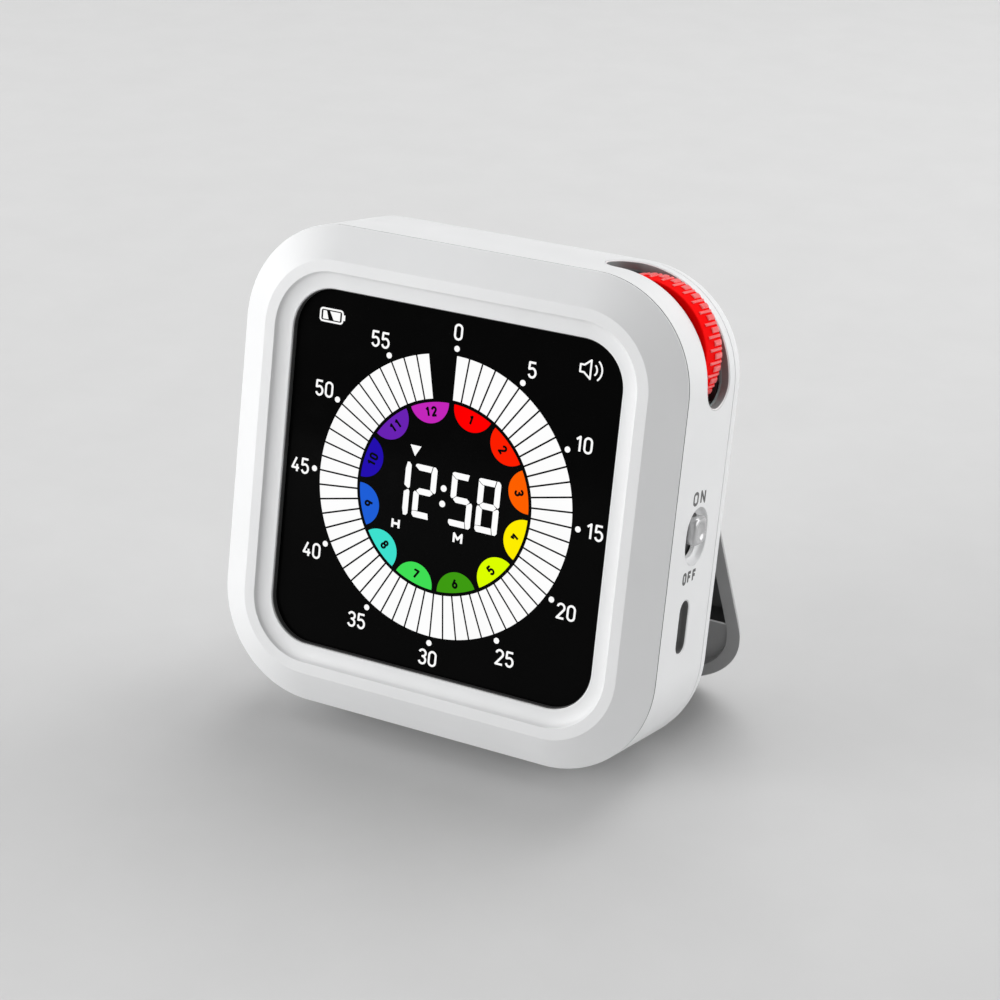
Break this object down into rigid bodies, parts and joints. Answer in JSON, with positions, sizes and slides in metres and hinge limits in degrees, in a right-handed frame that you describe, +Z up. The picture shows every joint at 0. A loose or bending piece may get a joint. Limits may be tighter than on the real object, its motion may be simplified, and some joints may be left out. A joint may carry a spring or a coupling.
{
  "type": "desk countdown timer",
  "caption": "Square desk timer with rounded corners, a round dial display, a red corner thumb wheel, a side switch and charging port, and a fold-out rear stand.",
  "frame": {"origin": "on the table under the middle of the object as it stands on its rear bottom edge and its open stand", "axes": "+Z up from the table, -Y towards the person reading the display, +X towards the side with the thumb wheel, switch and charging port; the display leans back 12.1 degrees"},
  "size_m": [0.0827, 0.0481, 0.0842],
  "materials": {
    "white_plastic": "fine matte moulding, satin on the edges",
    "grey_plastic": "matte moulding",
    "dark_grey_plastic": "matte moulding",
    "red_plastic": "satin, ribbed round the rim",
    "silver_plastic": "silver satin",
    "black_glass": "black smoked window over the display, opaque when seen lit",
    "lcd_glass": "liquid crystal cell with its polarisers",
    "clear_film": "frosted clear sheet",
    "white_tray": "white reflective moulding",
    "amber_ribbon": "polyimide film",
    "green_board": "glass fibre board with green solder mask",
    "chip_resin": "moulded black resin",
    "black_foam": "closed cell foam",
    "cell_foil": "pouch foil",
    "steel": "plated steel",
    "rubber": "soft black pad"
  },
  "bodies": {
    "case": {"front_bezel": "white_plastic", "side_housing": "white_plastic", "rear_cover": "white_plastic", "wheel_pocket": "dark_grey_plastic", "encoder_body": "dark_grey_plastic", "port_tongue": "dark_grey_plastic", "ribbon_connector": "dark_grey_plastic", "speaker": "dark_grey_plastic", "display_lens": "black_glass", "lcd_panel": "lcd_glass", "diffuser_film": "clear_film", "light_guide": "clear_film", "backlight_tray": "white_tray", "battery_connector": "white_tray", "display_ribbon": "amber_ribbon", "main_board": "green_board", "encoder_board": "green_board", "led_strip": "green_board", "controller_chip": "chip_resin", "display_driver_chip": "chip_resin", "charger_chip": "chip_resin", "power_inductor": "chip_resin", "battery_pad": "black_foam", "speaker_gasket": "black_foam", "battery_cell": "cell_foil", "switch_body": "steel", "port_shell": "steel", "clock_crystal": "steel", "hinge_pin_left": "steel", "hinge_pin_right": "steel", "case_screw_1": "steel", "case_screw_2": "steel", "case_screw_3": "steel", "case_screw_4": "steel", "board_screw_1": "steel", "board_screw_2": "steel", "board_screw_3": "steel"},
    "wheel": {"thumb_wheel": "red_plastic", "encoder_shaft": "steel"},
    "switch": {"switch_slider": "dark_grey_plastic", "switch_knob": "silver_plastic"},
    "stand": {"kickstand": "grey_plastic", "stand_pad": "rubber"}
  },
  "joints": [
    {"name": "wheel_turn", "type": "hinge", "parent": "case", "child": "wheel", "pos_m": [0.028, 0.0028, 0.06918], "axis": [0, 0.9778, -0.2094], "continuous": true},
    {"name": "switch_slide", "type": "slide", "parent": "case", "child": "switch", "axis": [0, 0.2094, 0.9778], "range_m": [-0.002, 0]},
    {"name": "stand_hinge", "type": "hinge", "parent": "case", "child": "stand", "pos_m": [0, 0.00918, 0.03831], "axis": [1, 0, 0], "range_deg": [-35, 0]}
  ]
}
